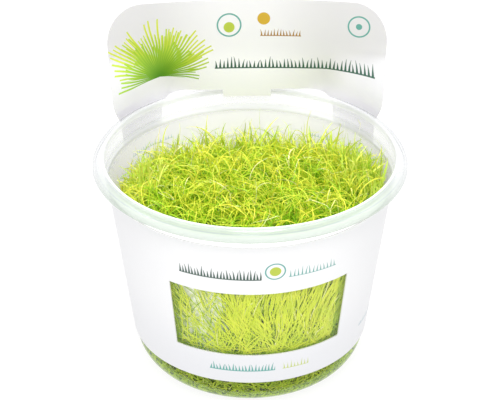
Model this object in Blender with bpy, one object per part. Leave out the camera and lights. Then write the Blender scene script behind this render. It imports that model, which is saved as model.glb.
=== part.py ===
# A clear in-vitro culture tub with a printed card sleeve, full of grassleaf bladderwort.
# Metres, +Z up. The origin is the middle of the tub's underside, the window looks towards -Y
# and the tall header card stands behind the rim, at +Y.

import math
import random

import bmesh
import bpy
from mathutils import Matrix, Vector, noise

# Driving dimensions of the tub
RIM_RADIUS = 0.0500          # outside of the rolled rim
LIP_RADIUS = 0.0461          # inner edge of the mouth
TUB_HEIGHT = 0.0744          # floor to the top of the rim
WALL = 0.0008                # moulded wall thickness
CONE_START = 0.0114          # height where the rounded corner meets the tapered wall
CONE_RADIUS = 0.0382         # outside radius at that height
TAPER = 0.1230               # outward run of the wall per unit of height
SHOULDER = 0.0672            # height of the moulded step below the rim
SHOULDER_STEP = 0.0010       # how far the step stands out
RIM_DROP = 0.0032            # how far the rolled rim turns down
TUB_SEGMENTS = 72

# Driving dimensions of the card sleeve and its header
CARD = 0.00035               # card thickness
GAP = 0.0003                 # clearance between touching pieces
SLEEVE_BOTTOM = 0.0126
SLEEVE_TOP = 0.0666
WINDOW_BOTTOM = 0.0241
WINDOW_TOP = 0.0489
WINDOW_LEFT = math.radians(-34.7)    # seen from the front, about the tub's axis
WINDOW_RIGHT = math.radians(43.6)
HEADER_TURN = math.radians(1.3)      # the header sits slightly left of the middle
HEADER_PLANE = 0.0430        # front of the header behind the tub's axis
HEADER_LEAN = 0.07           # backward run per unit of height
HEADER_TOP = 0.1072
HEADER_WIDEST = 0.0942       # height where the sides reach their full width
HEADER_FLAT = 0.0900         # above this the card keeps one even curl
HEADER_HALF_WIDTH = 0.0465
HEADER_CORNER = 0.0115       # width of the round upper corners
HEADER_CORNER_RISE = 0.0130  # and their height
HEADER_CURL = 2.6            # forward curl of the sides, per metre of half width squared
STRIP_HALF_WIDTH = 0.0410    # outer edge of the strips where they leave the sleeve
SLOT_HALF_WIDTH = 0.0292
SLOT_TOP = 0.0752
SLOT_CROWN = 0.0205          # half width of the slot's flat top, between its round corners
SLOT_SPRING = 0.0698         # height where the round corners begin
TAB_HALF_WIDTH = 0.0082
TAB_BOTTOM = 0.0726
STRIP_RADIUS = 0.0505        # the strips pass just outside the rolled rim
STRIP_CLEAR = 0.0703         # height where the strips have reached that radius

# Driving dimensions of the plants
MAT_TOP_RIM = 0.0662         # the mat's side follows the wall up to here at most
MAT_SEGMENTS = 60
MAT_RINGS = 14
MAT_HEIGHTS = [(-0.043, 0.0700), (-0.020, 0.0688), (0.000, 0.0665),
               (0.015, 0.0630), (0.030, 0.0570), (0.044, 0.0540)]
TUFT_HEIGHT = 0.0026
TUFT_SPACING = 0.0048
WALL_DIP = 0.0025            # the tips fall off this much towards the wall
LEFT_DIP = 0.0060            # and this much more on the left, where the wall stays bare
LEAF_CIRCLE = 0.0398         # the tall leaves stand this far from the axis
LEAF_WIDTH = 0.0013
LEAF_THICKNESS = 0.0004
LEAF_COUNT = 30
SEED = 7


def clear_scene():
    for item in list(bpy.data.objects):
        bpy.data.objects.remove(item, do_unlink=True)


def plain_material(name, colour, roughness, metallic=0.0, alpha=1.0):
    material = bpy.data.materials.new(name)
    material.use_nodes = True
    shader = material.node_tree.nodes["Principled BSDF"]
    shader.inputs["Base Color"].default_value = (*colour, 1.0)
    shader.inputs["Roughness"].default_value = roughness
    shader.inputs["Metallic"].default_value = metallic
    shader.inputs["Alpha"].default_value = alpha
    return material


def finish(name, bm, material, smooth_angle=None):
    """Turn a bmesh into a named object with outward faces."""
    bmesh.ops.recalc_face_normals(bm, faces=bm.faces)
    mesh = bpy.data.meshes.new(name)
    bm.to_mesh(mesh)
    bm.free()
    mesh.materials.append(material)
    if smooth_angle is not None:
        mesh.shade_smooth()
        mesh.set_sharp_from_angle(angle=math.radians(smooth_angle))
    item = bpy.data.objects.new(name, mesh)
    bpy.context.scene.collection.objects.link(item)
    return item


def smoothstep(low, high, value):
    t = min(max((value - low) / (high - low), 0.0), 1.0)
    return t * t * (3.0 - 2.0 * t)


def steps(first, last, count):
    """Evenly spaced values from first to last, both ends included."""
    return [first + (last - first) * i / (count - 1) for i in range(count)]


def wall_radius(z):
    """Outside radius of the tapered wall."""
    return CONE_RADIUS + (z - CONE_START) * TAPER


def corner_arc(radius, offset, count):
    """The rounded lower corner, from the flat underside up to the wall."""
    centre_r = CONE_RADIUS - CONE_START
    points = []
    for angle in steps(0.0, math.pi / 2.0, count):
        points.append((centre_r + (radius - offset) * math.sin(angle),
                       CONE_START - (radius - offset) * math.cos(angle)))
    return points


def tub_profile():
    """Half section of the tub as (radius, height), from the underside round to the inner floor."""
    outer = [(0.0, 0.0)] + corner_arc(CONE_START, 0.0, 7)
    outer += [(wall_radius(0.040), 0.040), (wall_radius(SHOULDER), SHOULDER)]
    band_foot = wall_radius(SHOULDER) + SHOULDER_STEP
    band_head = LIP_RADIUS + WALL * 0.75
    outer += [(band_foot, SHOULDER + 0.0006), (band_head, TUB_HEIGHT - WALL - 0.0004)]
    roll = RIM_RADIUS - LIP_RADIUS - WALL
    rim_under = [(LIP_RADIUS + WALL + (roll - WALL) * math.sin(a),
                  TUB_HEIGHT - WALL - (RIM_DROP - WALL) * (1.0 - math.cos(a)))
                 for a in steps(0.25, math.pi / 2.0, 4)]
    rim_edge = [(RIM_RADIUS - WALL, TUB_HEIGHT - RIM_DROP - 0.0004),
                (RIM_RADIUS - 0.0002, TUB_HEIGHT - RIM_DROP - 0.0003)]
    rim_over = [(LIP_RADIUS + WALL + roll * math.sin(a),
                 TUB_HEIGHT - RIM_DROP * (1.0 - math.cos(a)))
                for a in steps(math.pi / 2.0, 0.0, 5)]
    lip = [(LIP_RADIUS, TUB_HEIGHT - 0.0003)]
    inner_top = wall_radius(SHOULDER) - WALL
    inner = [(inner_top + SHOULDER_STEP, SHOULDER + 0.0004), (inner_top, SHOULDER - 0.0004),
             (wall_radius(0.040) - WALL, 0.040)]
    inner += list(reversed(corner_arc(CONE_START, WALL, 7)))
    inner += [(0.0, WALL)]
    return outer + rim_under + rim_edge + rim_over + lip + inner


def make_tub():
    bm = bmesh.new()
    verts = [bm.verts.new((r, 0.0, z)) for r, z in tub_profile()]
    edges = [bm.edges.new(pair) for pair in zip(verts, verts[1:])]
    bmesh.ops.spin(bm, geom=verts + edges, axis=(0, 0, 1), cent=(0, 0, 0),
                   angle=2.0 * math.pi, steps=TUB_SEGMENTS, use_merge=True)
    bmesh.ops.remove_doubles(bm, verts=bm.verts, dist=0.00001)
    clear = plain_material("clear plastic", (0.93, 0.95, 0.96), 0.06, alpha=0.35)
    return finish("tub", bm, clear, smooth_angle=50)


def header_half_width(z):
    """Half width of the card above the sleeve: it widens upwards and has round top corners."""
    corner_base = HEADER_TOP - HEADER_CORNER_RISE
    if z > corner_base:
        rise = min((z - corner_base) / HEADER_CORNER_RISE, 1.0)
        return HEADER_HALF_WIDTH - HEADER_CORNER * (1.0 - math.sqrt(1.0 - rise * rise))
    t = min((z - SLEEVE_TOP) / (HEADER_WIDEST - SLEEVE_TOP), 1.0)
    spread = HEADER_HALF_WIDTH - STRIP_HALF_WIDTH
    return STRIP_HALF_WIDTH + spread * math.sin(t * math.pi / 2.0)


def header_depth(x, z):
    """Distance of the header's front face behind the axis, at a place x along it."""
    sleeve_radius = wall_radius(SLEEVE_TOP) + GAP
    radius = sleeve_radius + (STRIP_RADIUS - sleeve_radius) * min(
        (z - SLEEVE_TOP) / (STRIP_CLEAR - SLEEVE_TOP), 1.0)
    ring = math.sqrt(max(radius * radius - x * x, 0.0))
    hug = min(ring, HEADER_PLANE)
    flat = HEADER_PLANE + HEADER_LEAN * (z - SLOT_TOP) - HEADER_CURL * x * x
    blend = smoothstep(TUB_HEIGHT, HEADER_FLAT, z)
    return hug * (1.0 - blend) + flat * blend


def slot_half_width(z):
    """Half width of the slot: straight sides, then round corners that follow the rim behind."""
    narrowing = SLOT_HALF_WIDTH - SLOT_CROWN
    if z > SLOT_TOP:
        return SLOT_CROWN + narrowing * smoothstep(SLOT_TOP, HEADER_FLAT, z)
    rise = max((z - SLOT_SPRING) / (SLOT_TOP - SLOT_SPRING), 0.0)
    return SLOT_HALF_WIDTH - narrowing * (1.0 - math.sqrt(1.0 - rise * rise))


def header_columns(z):
    """Places across the header; the inner ones follow the slot and the tab."""
    inner = [0.0, TAB_HALF_WIDTH / 2.0, TAB_HALF_WIDTH]
    inner += steps(TAB_HALF_WIDTH, slot_half_width(z), 5)[1:]
    outer = steps(slot_half_width(z), header_half_width(z), 6)[1:]
    right = inner + outer
    return [-x for x in reversed(right[1:])] + right


def header_rows():
    rows = steps(SLEEVE_TOP, STRIP_CLEAR, 4)
    rows += [(STRIP_CLEAR + TAB_BOTTOM) / 2.0]
    rows += steps(TAB_BOTTOM, TUB_HEIGHT, 3)
    rows += [(TUB_HEIGHT + SLOT_TOP) / 2.0]
    rows += steps(SLOT_TOP, HEADER_FLAT, 6)
    rows += [HEADER_TOP - HEADER_CORNER_RISE]
    rows += [HEADER_TOP - HEADER_CORNER_RISE * (1.0 - math.sin(a))
             for a in steps(0.0, math.pi / 2.0, 7)[1:]]
    return rows


def make_sleeve():
    """One die-cut card: the tapered wrap with its window, two strips, and the header."""
    bm = bmesh.new()
    turn = Matrix.Rotation(HEADER_TURN, 3, "Z")
    columns = header_columns(SLEEVE_TOP)
    sleeve_radius = wall_radius(SLEEVE_TOP) + GAP
    back = [HEADER_TURN - math.asin(x / sleeve_radius) for x in columns]
    right_side = steps(back[-1], WINDOW_RIGHT - math.pi, 9)[1:]
    window = steps(WINDOW_RIGHT - math.pi, WINDOW_LEFT - math.pi, 21)[1:]
    left_side = steps(WINDOW_LEFT - math.pi, back[0] - 2.0 * math.pi, 9)[1:-1]
    angles = back + right_side + window + left_side
    window_first = len(back) + len(right_side) - 1
    heights = [SLEEVE_BOTTOM, WINDOW_BOTTOM, WINDOW_TOP, SLEEVE_TOP]
    ring = []
    for z in heights:
        radius = wall_radius(z) + GAP
        ring.append([bm.verts.new((-radius * math.sin(a), radius * math.cos(a), z))
                     for a in angles])
    for band in range(3):
        for i in range(len(angles)):
            in_window = window_first <= i < window_first + len(window)
            if band == 1 and in_window:
                continue
            j = (i + 1) % len(angles)
            bm.faces.new((ring[band][i], ring[band][j], ring[band + 1][j], ring[band + 1][i]))
    rows = header_rows()
    grid = [ring[3][:len(columns)]]
    for z in rows[1:]:
        line = []
        for x in header_columns(z):
            line.append(bm.verts.new(turn @ Vector((x, header_depth(x, z), z))))
        grid.append(line)
    for r, (low, high) in enumerate(zip(rows, rows[1:])):
        middle = (low + high) / 2.0
        for c in range(len(columns) - 1):
            across = abs(columns[c] + columns[c + 1]) / 2.0
            in_slot = across < SLOT_HALF_WIDTH and middle < SLOT_TOP
            in_tab = across < TAB_HALF_WIDTH and middle > TAB_BOTTOM
            if in_slot and not in_tab:
                continue
            bm.faces.new((grid[r][c], grid[r][c + 1], grid[r + 1][c + 1], grid[r + 1][c]))
    loose = [v for v in bm.verts if not v.link_faces]
    bmesh.ops.delete(bm, geom=loose, context="VERTS")
    white = plain_material("white card", (0.90, 0.91, 0.92), 0.45)
    sleeve = finish("sleeve", bm, white, smooth_angle=40)
    outward = sum(p.area for p in sleeve.data.polygons
                  if Vector(p.normal[:2] + (0.0,)).dot(Vector(p.center[:2] + (0.0,))) > 0.0)
    total = sum(p.area for p in sleeve.data.polygons)
    if outward < total / 2.0:
        sleeve.data.flip_normals()
    solid = sleeve.modifiers.new("card thickness", "SOLIDIFY")
    solid.thickness = CARD
    solid.offset = 1.0
    solid.use_even_offset = True
    return sleeve


def mat_height(x, y):
    """Height of the leaf tips over a place in the tub: high in front, low at the back."""
    base = MAT_HEIGHTS[-1][1]
    for (y0, z0), (y1, z1) in zip(MAT_HEIGHTS, MAT_HEIGHTS[1:]):
        if y <= y0:
            base = z0
            break
        if y <= y1:
            base = z0 + (z1 - z0) * smoothstep(y0, y1, y)
            break
    radius = max(math.hypot(x, y), 0.0001)
    near_wall = smoothstep(0.030, 0.0435, radius) * (1.0 - smoothstep(0.2, 0.8, -y / radius))
    dip = (WALL_DIP + LEFT_DIP * smoothstep(0.1, 0.8, -x / radius)) * near_wall
    place = Vector((x / TUFT_SPACING, y / TUFT_SPACING, 0.37))
    tufts = abs(noise.noise(place)) * 1.4 + 0.6 * noise.noise(place * 2.3)
    return base - dip - TUFT_HEIGHT * 0.5 + TUFT_HEIGHT * tufts


def make_mat():
    """The grown-together bladderwort that fills the tub, up to the tips of its leaves."""
    bm = bmesh.new()
    clearance = WALL + GAP
    corner = corner_arc(CONE_START, clearance, 5)
    sides = []
    for i in range(MAT_SEGMENTS):
        angle = 2.0 * math.pi * i / MAT_SEGMENTS
        direction = Vector((math.cos(angle), math.sin(angle), 0.0))
        edge = direction * (wall_radius(MAT_TOP_RIM) - clearance)
        edge_height = mat_height(edge.x, edge.y)
        column = [direction * r + Vector((0, 0, z)) for r, z in corner]
        for z in steps(CONE_START, edge_height, 4)[1:]:
            reach = wall_radius(min(z, MAT_TOP_RIM)) - clearance
            column.append(direction * reach + Vector((0, 0, z)))
        outer = column[-1].xy.length
        for k in range(1, MAT_RINGS):
            r = outer * (1.0 - k / MAT_RINGS)
            x, y = direction.x * r, direction.y * r
            column.append(Vector((x, y, mat_height(x, y))))
        sides.append([bm.verts.new(v) for v in column])
    floor = bm.verts.new((0.0, 0.0, corner[0][1]))
    crown = bm.verts.new((0.0, 0.0, mat_height(0.0, 0.0)))
    for i in range(MAT_SEGMENTS):
        a, b = sides[i], sides[(i + 1) % MAT_SEGMENTS]
        for k in range(len(a) - 1):
            bm.faces.new((a[k], b[k], b[k + 1], a[k + 1]))
        bm.faces.new((floor, b[0], a[0]))
        bm.faces.new((crown, a[-1], b[-1]))
    bmesh.ops.triangulate(bm, faces=bm.faces)
    green = plain_material("bladderwort leaves", (0.45, 0.58, 0.05), 0.5)
    return finish("bladderwort_mat", bm, green)


def leaf_points():
    """Base, tip and width of each tall leaf that stands clear of the mat."""
    draw = random.Random(SEED)
    first, last = math.radians(-14.0), math.radians(194.0)
    leaves = []
    for i in range(LEAF_COUNT):
        angle = first + (last - first) * (i + 0.5) / LEAF_COUNT + draw.uniform(-0.025, 0.025)
        circle = LEAF_CIRCLE - draw.uniform(0.0, 0.0030)
        x, y = circle * math.cos(angle), circle * math.sin(angle)
        behind = smoothstep(-0.01, 0.036, y)
        length = (0.0045 + 0.0035 * behind) + draw.uniform(0.0, 0.0045)
        base = Vector((x, y, mat_height(x, y) + 0.0011))
        sway = Vector((draw.uniform(-0.0026, 0.0026), draw.uniform(-0.0035, 0.0004), 0.0))
        tip = base + sway + Vector((0.0, 0.0, length))
        tip.z = min(tip.z, TUB_HEIGHT - 0.0012)
        leaves.append((base, tip, LEAF_WIDTH * draw.uniform(0.8, 1.15)))
    return leaves


def make_leaf(name, base, tip, width, material):
    """A grass-like leaf: narrow at the foot, widest above the middle, drawn out to a tip."""
    bm = bmesh.new()
    centre_line = []
    for t in steps(0.0, 1.0, 6):
        point = base.lerp(tip, t)
        point.z = base.z + (tip.z - base.z) * t
        point += Vector((0.0, -1.0, 0.0)) * (0.0012 * math.sin(math.pi * t))
        centre_line.append((t, point))
    side = Vector((base.y, -base.x, 0.0)).normalized()
    face = Vector((base.x, base.y, 0.0)).normalized()
    rings = []
    for t, point in centre_line[:-1]:
        spread = width * (0.30 + 0.70 * math.sin(math.pi * min(t * 1.15 + 0.05, 1.0))) / 2.0
        depth = LEAF_THICKNESS / 2.0
        rings.append([bm.verts.new(point + side * spread), bm.verts.new(point + face * depth),
                      bm.verts.new(point - side * spread), bm.verts.new(point - face * depth)])
    for low, high in zip(rings, rings[1:]):
        for k in range(4):
            bm.faces.new((low[k], low[(k + 1) % 4], high[(k + 1) % 4], high[k]))
    end = bm.verts.new(centre_line[-1][1])
    for k in range(4):
        bm.faces.new((rings[-1][k], rings[-1][(k + 1) % 4], end))
    bm.faces.new(rings[0])
    bmesh.ops.triangulate(bm, faces=bm.faces)
    return finish(name, bm, material)


def main():
    clear_scene()
    make_tub()
    make_sleeve()
    make_mat()
    fresh = plain_material("young leaf", (0.50, 0.66, 0.06), 0.45)
    for number, (base, tip, width) in enumerate(leaf_points(), start=1):
        make_leaf(f"leaf_{number:02d}", base, tip, width, fresh)


main()
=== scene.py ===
# %% [markdown]
# # A tub of grassleaf bladderwort in its card sleeve
# This notebook dresses a small tub of aquarium plants. The real object is a clear tub, a white
# printed card that wraps it and stands up behind the rim, and a dense mat of fine leaves.
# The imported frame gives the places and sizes. Everything here is in metres, +Z up, with the
# window of the card towards -Y.

# %% Load the frame
import math
import random

import bpy
import numpy as np
from mathutils import Matrix, Vector, noise


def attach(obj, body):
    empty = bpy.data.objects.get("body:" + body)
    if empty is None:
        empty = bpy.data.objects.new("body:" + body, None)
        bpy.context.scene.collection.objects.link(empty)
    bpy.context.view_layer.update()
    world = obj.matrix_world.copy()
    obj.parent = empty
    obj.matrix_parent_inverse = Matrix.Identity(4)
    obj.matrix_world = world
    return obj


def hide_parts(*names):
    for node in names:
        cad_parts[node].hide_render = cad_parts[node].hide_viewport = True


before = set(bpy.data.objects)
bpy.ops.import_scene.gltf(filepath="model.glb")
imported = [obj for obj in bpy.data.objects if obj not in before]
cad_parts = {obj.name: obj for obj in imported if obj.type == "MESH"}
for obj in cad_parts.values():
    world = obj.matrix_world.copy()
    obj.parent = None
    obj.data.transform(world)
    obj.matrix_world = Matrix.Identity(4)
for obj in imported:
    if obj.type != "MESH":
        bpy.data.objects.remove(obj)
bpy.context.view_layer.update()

scene = bpy.context.scene
leaf_nodes = sorted(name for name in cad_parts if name.startswith("leaf_"))
print("nodes:", len(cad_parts), "tall leaves:", len(leaf_nodes))

# %% [markdown]
# ## Sizes
# The tub is turned from one half section, and the card is one flat shape rolled into a cone.
# Both are worked out from the same few sizes as the solids, so that the fine surfaces made here
# lie on them. A maker would read these off a drawing; here they are named once and reused. Only
# the leaf tips fall off a little more towards the back wall than the solid does, so that bare
# wall shows between the last leaves.

# %% Sizes of the tub, the card and the plants
RIM_RADIUS = 0.0500
LIP_RADIUS = 0.0461
TUB_HEIGHT = 0.0744
WALL = 0.0008
CONE_START = 0.0114
CONE_RADIUS = 0.0382
TAPER = 0.1230
SHOULDER = 0.0672
SHOULDER_STEP = 0.0010
RIM_DROP = 0.0032
CARD = 0.00035
GAP = 0.0003
SLEEVE_BOTTOM = 0.0126
SLEEVE_TOP = 0.0666
WINDOW_BOTTOM = 0.0241
WINDOW_TOP = 0.0489
WINDOW_LEFT = math.radians(-34.7)
WINDOW_RIGHT = math.radians(43.6)
HEADER_TURN = math.radians(1.3)
HEADER_PLANE = 0.0430
HEADER_LEAN = 0.07
HEADER_TOP = 0.1072
HEADER_WIDEST = 0.0942
HEADER_FLAT = 0.0900
HEADER_HALF_WIDTH = 0.0465
HEADER_CORNER = 0.0115
HEADER_CORNER_RISE = 0.0130
HEADER_CURL = 2.6
STRIP_HALF_WIDTH = 0.0410
SLOT_HALF_WIDTH = 0.0292
SLOT_TOP = 0.0752
SLOT_CROWN = 0.0205
SLOT_SPRING = 0.0698
TAB_HALF_WIDTH = 0.0082
TAB_BOTTOM = 0.0726
STRIP_RADIUS = 0.0505
STRIP_CLEAR = 0.0703
MAT_HEIGHTS = [(-0.043, 0.0700), (-0.020, 0.0688), (0.000, 0.0665),
               (0.015, 0.0630), (0.030, 0.0570), (0.044, 0.0540)]
WALL_DIP = 0.0035
LEFT_DIP = 0.0100
DIP_START = 0.0300
DIP_FULL = 0.0435


def smoothstep(low, high, value):
    """Works on one number and on an array alike."""
    t = np.clip((value - low) / (high - low), 0.0, 1.0)
    return t * t * (3.0 - 2.0 * t)


def steps(first, last, count):
    """Evenly spaced values from first to last, both ends included."""
    return [first + (last - first) * i / (count - 1) for i in range(count)]


def lumpy(a, b, c):
    """Smooth noise at three numbers, about one lump for each unit."""
    return noise.noise(Vector((a, b, c)))


def wall_radius(z):
    """Outside radius of the tub's tapered wall."""
    return CONE_RADIUS + (z - CONE_START) * TAPER


def inside_radius(z):
    """Radius of the room inside the tub, from the rounded floor corner up to the lip."""
    if z < CONE_START:
        drop = CONE_START - max(z, WALL)
        round_part = math.sqrt(max((CONE_START - WALL) ** 2 - drop * drop, 0.0))
        return CONE_RADIUS - CONE_START + round_part
    step = SHOULDER_STEP if z > SHOULDER else 0.0
    return min(wall_radius(z) - WALL + step, LIP_RADIUS)


def canopy_height(x, y):
    """Height of the leaf tips over a place in the tub: high in front, low at the back."""
    base = MAT_HEIGHTS[0][1]
    for (y0, z0), (y1, z1) in zip(MAT_HEIGHTS, MAT_HEIGHTS[1:]):
        base = base + (z1 - z0) * smoothstep(y0, y1, y)
    radius = np.maximum(np.hypot(x, y), 0.0001)
    near_wall = smoothstep(DIP_START, DIP_FULL, radius) * (1.0 - smoothstep(0.2, 0.8, -y / radius))
    return base - (WALL_DIP + LEFT_DIP * smoothstep(0.1, 0.8, -x / radius)) * near_wall


print("canopy, front and back:", canopy_height(0, -0.04), canopy_height(0, 0.04))

# %% [markdown]
# ## Camera
# The photograph looks down on the tub at about thirty degrees from a little under half a metre,
# with a long lens. The height, distance and lens were found by matching the ellipses of the rim
# and of the sleeve's edges, so the camera needs no shift.

# %% Camera
PHOTO_WIDTH = 500
FOCAL_PIXELS = 1521.0
CAMERA_BACK = 0.4245
CAMERA_UP = 0.3045
CAMERA_PITCH = math.radians(30.29)

camera = bpy.data.objects.new("camera", bpy.data.cameras.new("camera"))
scene.collection.objects.link(camera)
camera.data.lens = FOCAL_PIXELS / PHOTO_WIDTH * camera.data.sensor_width
camera.data.clip_start = 0.01
camera.location = (0.0, -CAMERA_BACK, CAMERA_UP)
camera.rotation_euler = (math.pi / 2.0 - CAMERA_PITCH, 0.0, 0.0)
scene.camera = camera
print("lens in millimetres:", round(camera.data.lens, 1))

# %% [markdown]
# ## Writing shader maths as plain expressions
# A material is a graph of nodes. Adding each Math node by hand is slow to write and hard to
# read, so a small class wraps a socket: adding or multiplying two of them adds the node. Every
# other node comes from one method that takes its type, its settings and its inputs. The same
# wires serve the Geometry Nodes tree further down.

# %% Wires and graphs
def wired(operation, reflected=False):
    """An operator on wires: it adds one Math node, with its terms swapped when reflected."""
    def act(self, other):
        return self.graph.math(operation, *((other, self) if reflected else (self, other)))
    return act


class Wire:
    """A value in a node graph; arithmetic on it adds Math nodes."""

    def __init__(self, graph, socket):
        self.graph = graph
        self.socket = socket

    def math(self, operation, *others):
        return self.graph.math(operation, self, *others)

    def __abs__(self):
        return self.math("ABSOLUTE")

    __add__, __radd__ = wired("ADD"), wired("ADD", True)
    __sub__, __rsub__ = wired("SUBTRACT"), wired("SUBTRACT", True)
    __mul__, __rmul__ = wired("MULTIPLY"), wired("MULTIPLY", True)
    __truediv__, __lt__, __gt__ = wired("DIVIDE"), wired("LESS_THAN"), wired("GREATER_THAN")


class Graph:
    """A node tree, and short ways to write nodes into it."""

    def __init__(self, tree):
        self.tree = tree

    def node(self, kind, settings=None, inputs=None):
        """Add a node: settings come first, then values or links for its sockets."""
        made = self.tree.nodes.new(kind)
        for key, value in (settings or {}).items():
            setattr(made, key, value)
        for key, value in (inputs or {}).items():
            self.feed(made.inputs[key], value)
        return made

    def wire(self, kind, settings=None, inputs=None, output=0):
        """Add a node and take one of its outputs."""
        return Wire(self, self.node(kind, settings, inputs).outputs[output])

    def feed(self, socket, value):
        """Link a wire or set a value; a colour is given by three numbers."""
        if isinstance(value, Wire):
            self.tree.links.new(value.socket, socket)
        else:
            socket.default_value = (*value, 1.0) if socket.type == "RGBA" else value

    def math(self, operation, *values):
        return self.wire("ShaderNodeMath", {"operation": operation}, dict(enumerate(values)))

    def split(self, vector):
        """The three parts of a vector."""
        made = self.node("ShaderNodeSeparateXYZ", None, {0: vector})
        return [Wire(self, out) for out in made.outputs]


class Book(Graph):
    """One material and the nodes that are written into it."""

    def __init__(self, name):
        self.material = bpy.data.materials.new(name)
        self.material.use_nodes = True
        super().__init__(self.material.node_tree)
        self.shader = self.tree.nodes["Principled BSDF"]

    def clamp(self, value):
        return self.wire("ShaderNodeClamp", None, {"Value": value})

    def between(self, value, low, high):
        """Nought below low, one above high, smooth in the middle."""
        return self.wire("ShaderNodeMapRange", {"interpolation_type": "SMOOTHSTEP"},
                         {"Value": value, "From Min": low, "From Max": high}, "Result")

    def mix(self, factor, first, second):
        """Blend two colours; a colour is a tuple or a Wire."""
        made = self.node("ShaderNodeMix", {"data_type": "RGBA"}, {"Factor": factor})
        for socket, colour in zip([s for s in made.inputs if s.type == "RGBA"], (first, second)):
            self.feed(socket, colour)
        return Wire(self, next(s for s in made.outputs if s.type == "RGBA"))

    def layers(self, colour, *marks):
        """Lay tints over a colour, in order; each comes with the mask it keeps to."""
        for mask, tint in marks:
            colour = self.mix(mask, colour, tint)
        return colour

    def place(self):
        """Object coordinates as a vector and as three numbers in millimetres."""
        vector = self.wire("ShaderNodeTexCoord", output="Object")
        return vector, [part * 1000.0 for part in self.split(vector)]

    def noise(self, vector, scale, detail=2.0, distortion=0.0):
        return self.wire("ShaderNodeTexNoise", None, {
            "Vector": vector, "Scale": scale, "Detail": detail, "Distortion": distortion}, "Fac")

    def attribute(self, name):
        return self.wire("ShaderNodeAttribute", {"attribute_name": name}, None, "Fac")

    def bump(self, height, strength, distance):
        self.feed(self.shader.inputs["Normal"], self.wire("ShaderNodeBump", None, {
            "Height": height, "Strength": strength, "Distance": distance}, "Normal"))

    def glow(self, colour):
        """Let the surface give off light of this colour."""
        self.feed(self.shader.inputs["Emission Color"], colour)
        self.shader.inputs["Emission Strength"].default_value = 1.0

    def finish(self, colour, roughness, **others):
        for name, value in {"Base_Color": colour, "Roughness": roughness, **others}.items():
            self.feed(self.shader.inputs[name.replace("_", " ")], value)
        return self.material


# %% [markdown]
# ## Making meshes
# Most pieces are sheets of points joined in rows. One helper turns such rows into faces, and
# one turns a mesh into a finished object that rides on the frame's only body.

# %% Mesh helpers
def sheet_faces(rows, columns, closed=False, skip=None, start=0):
    """Quads between neighbouring points of a grid; skip(r, c) leaves holes."""
    faces = []
    for r in range(rows - 1):
        low, high = start + r * columns, start + (r + 1) * columns
        for c in range(columns if closed else columns - 1):
            if skip and skip(r, c):
                continue
            d = (c + 1) % columns
            faces.append((low + c, low + d, high + d, high + c))
    return faces


def piece_from(name, points, faces, materials, smooth_angle=None):
    mesh = bpy.data.meshes.new(name)
    mesh.from_pydata([tuple(p) for p in points], [], faces)
    mesh.update()
    for material in materials:
        mesh.materials.append(material)
    mesh.shade_smooth()
    if smooth_angle is not None:
        mesh.set_sharp_from_angle(angle=math.radians(smooth_angle))
    made = bpy.data.objects.new(name, mesh)
    scene.collection.objects.link(made)
    return made


def store(item, name, values):
    """Keep one number a point on a mesh."""
    layer = item.data.attributes.new(name, "FLOAT", "POINT")
    layer.data.foreach_set("value", values)


def bake_modifiers(item):
    """Replace an object's mesh by what its modifiers make, and drop the modifiers."""
    graph = bpy.context.evaluated_depsgraph_get()
    mesh = bpy.data.meshes.new_from_object(item.evaluated_get(graph))
    item.modifiers.clear()
    item.data = mesh
    return item


def settle(piece, slot, *nodes):
    """Ride on the frame and stand for CAD nodes; slot is not used."""
    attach(piece, "root")
    if nodes:
        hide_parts(*nodes)
    print(piece.name, "triangles:", sum(len(p.vertices) - 2 for p in piece.data.polygons))


# %% [markdown]
# ## The clear tub
# The real tub is injection moulded in a clear, slightly milky plastic. Its wall is thin, so it
# hardly bends the light, but it grows whiter where one looks along the surface. A thin wall
# with an opacity that rises at grazing angles gives that look and lets light reach the leaves.
# The rolled rim gathers green light from the leaves in front and white light from the card, and
# the rounded foot bends the view into a tangle. Neither comes from a thin wall alone, so both
# are tints chosen by place. On the rim they are painted light: painted green light in front,
# painted highlights on the lip, at the back and along the rim's lower edge, painted shade lines
# across the roll and along edges seen at a slant, and a painted white glow over the shade under
# the front rim. All places in the masks are in millimetres.

# %% Clear plastic
BLACK = (0.0, 0.0, 0.0)
FLANGE_START = 46.7
FLANGE_FULL = 47.5
BAND_START = 66.2
BAND_FULL = 66.8
FOOT_START = 12.6
FOOT_FULL = 11.0
RIM_UNDERSIDE = 70.95
# Height of a painted highlight line along the rim's lower edge.
HIGHLIGHT_LINE = 71.35
# Painted shade lines across the roll of the rim: radius, half width and soft edge.
RIM_SHADE_LINES = [(47.7, 0.30, 0.15), (49.1, 0.22, 0.12)]


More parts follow.
